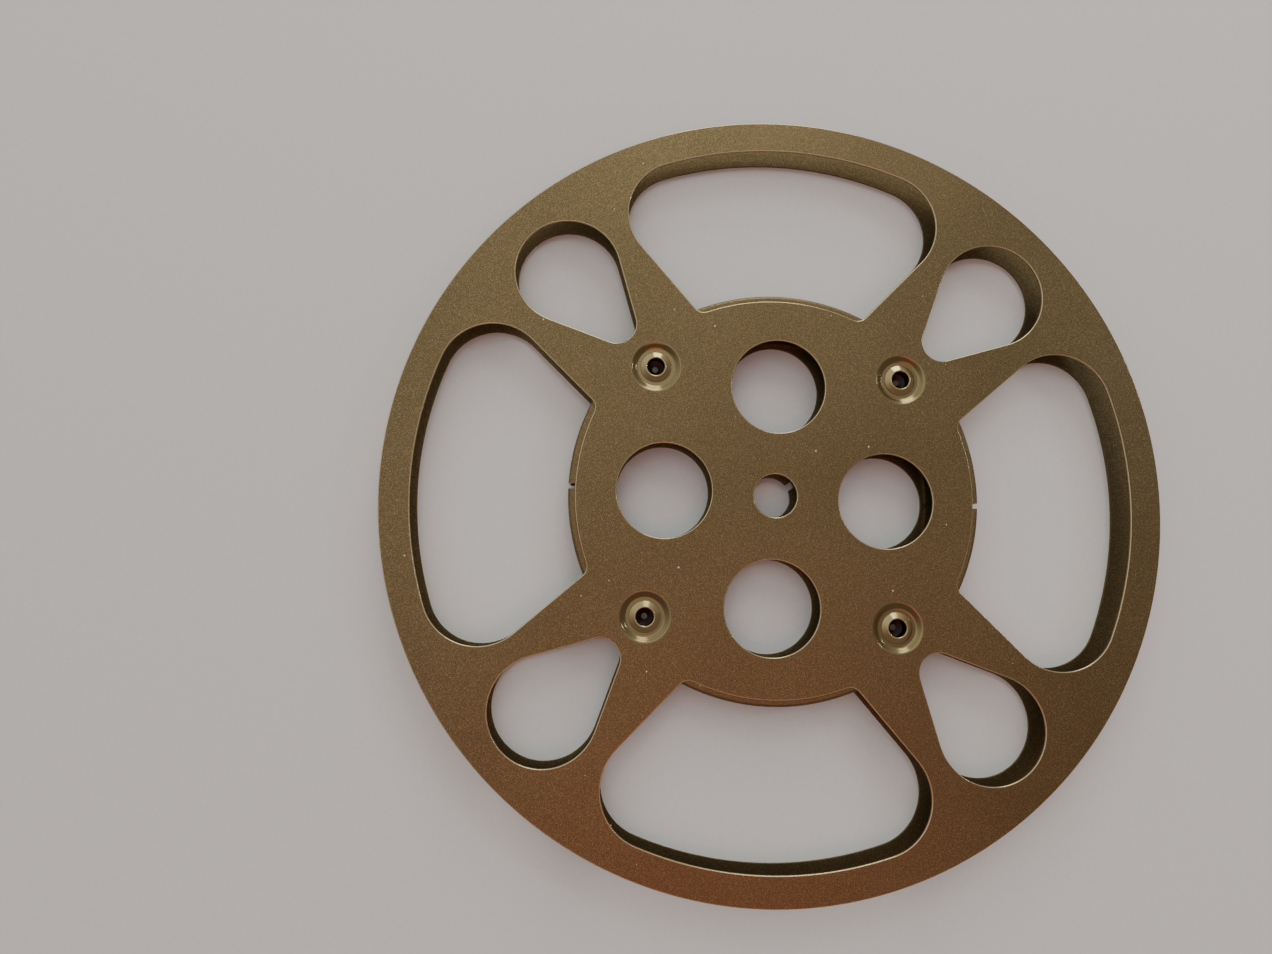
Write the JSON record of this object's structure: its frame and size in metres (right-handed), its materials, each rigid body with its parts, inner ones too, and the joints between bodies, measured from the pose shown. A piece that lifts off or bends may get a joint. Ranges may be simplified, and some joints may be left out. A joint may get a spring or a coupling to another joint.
{
  "type": "film reel",
  "caption": "Open metal reel for narrow cine film: two pressed steel flanges with windows, a hollow drum core between them, hollow rivets and a keyed spindle hole.",
  "frame": {"origin": "middle of the rear flange's outer face, on the reel's axis", "axes": "+Z along the reel's axis, from the rear flange to the front flange; +X through one film slot of the core"},
  "size_m": [0.235, 0.235, 0.0105],
  "materials": {
    "flange_paint": "satin bronze metallic paint with a fine grain",
    "core_paint": "satin bronze metallic paint",
    "rivet_metal": "semi-gloss bronze over rolled metal",
    "sleeve_steel": "bare turned steel"
  },
  "bodies": {
    "root": {"front_flange": "flange_paint", "rear_flange": "flange_paint", "core_half_1": "core_paint", "core_half_2": "core_paint", "rivet_1": "rivet_metal", "rivet_2": "rivet_metal", "rivet_3": "rivet_metal", "rivet_4": "rivet_metal", "spacer_sleeve_1": "sleeve_steel", "spacer_sleeve_2": "sleeve_steel", "spacer_sleeve_3": "sleeve_steel", "spacer_sleeve_4": "sleeve_steel"}
  },
  "joints": []
}
